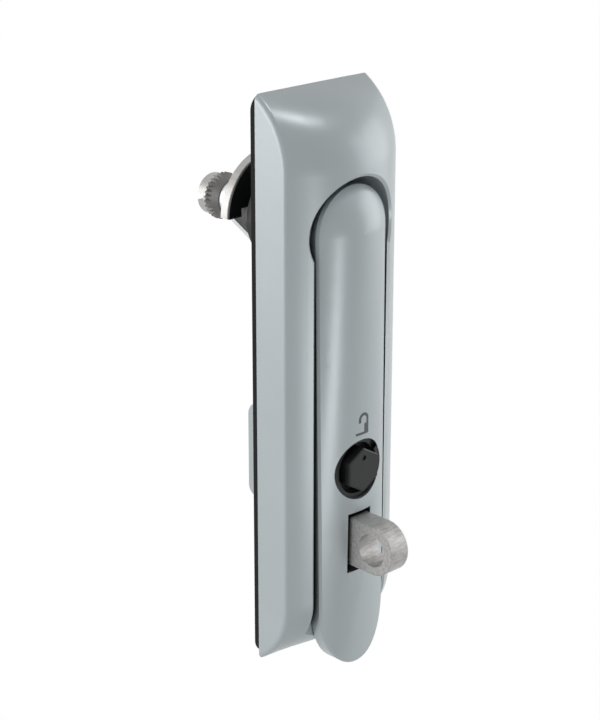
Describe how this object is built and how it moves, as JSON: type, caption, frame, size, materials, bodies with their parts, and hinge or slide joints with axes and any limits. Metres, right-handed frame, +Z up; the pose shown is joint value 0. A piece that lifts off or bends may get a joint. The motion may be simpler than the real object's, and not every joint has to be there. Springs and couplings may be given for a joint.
{
  "type": "swing handle lock",
  "caption": "Padlockable swing handle lock for a cabinet door: crowned die-cast housing, flush lift-out handle, hex key insert and padlock lug.",
  "frame": {"origin": "on the spindle axis, at the door plane (rear face of the gasket)", "axes": "+X to the right seen from outside, +Y into the cabinet, +Z up"},
  "size_m": [0.0426, 0.0761, 0.1666],
  "materials": {
    "satin_silver": "satin",
    "zinc_cast": "satin",
    "steel": "brushed",
    "dark_steel": "brushed",
    "black_plastic": "matte",
    "black_rubber": "matte"
  },
  "bodies": {
    "housing": {"base_housing": "satin_silver", "gasket": "black_rubber", "rotor": "zinc_cast", "pivot_pin": "steel", "bearing_collar": "black_plastic", "stop_shim": "black_plastic", "stop_disc": "steel", "drive_flange": "zinc_cast", "spacer_sleeve": "zinc_cast", "serrated_washer": "dark_steel", "cam_screw": "steel", "padlock_lug": "steel", "lug_screws": "steel", "latch_cover": "zinc_cast", "cover_screws": "steel", "tip_buffers": "black_rubber"},
    "handle": {"handle_lever": "satin_silver", "insert_housing": "black_plastic", "insert_nut": "steel"},
    "insert": {"hex_insert": "black_plastic", "latch_cam": "steel", "latch_screw": "steel"}
  },
  "joints": [
    {"name": "handle_lift", "type": "hinge", "parent": "housing", "child": "handle", "pos_m": [0, -0.0122, 0], "axis": [-1, 0, 0], "range_deg": [0, 30]},
    {"name": "insert_turn", "type": "hinge", "parent": "handle", "child": "insert", "pos_m": [0, -0.0171, -0.0681], "axis": [0, 1, 0], "range_deg": [0, 90]}
  ]
}
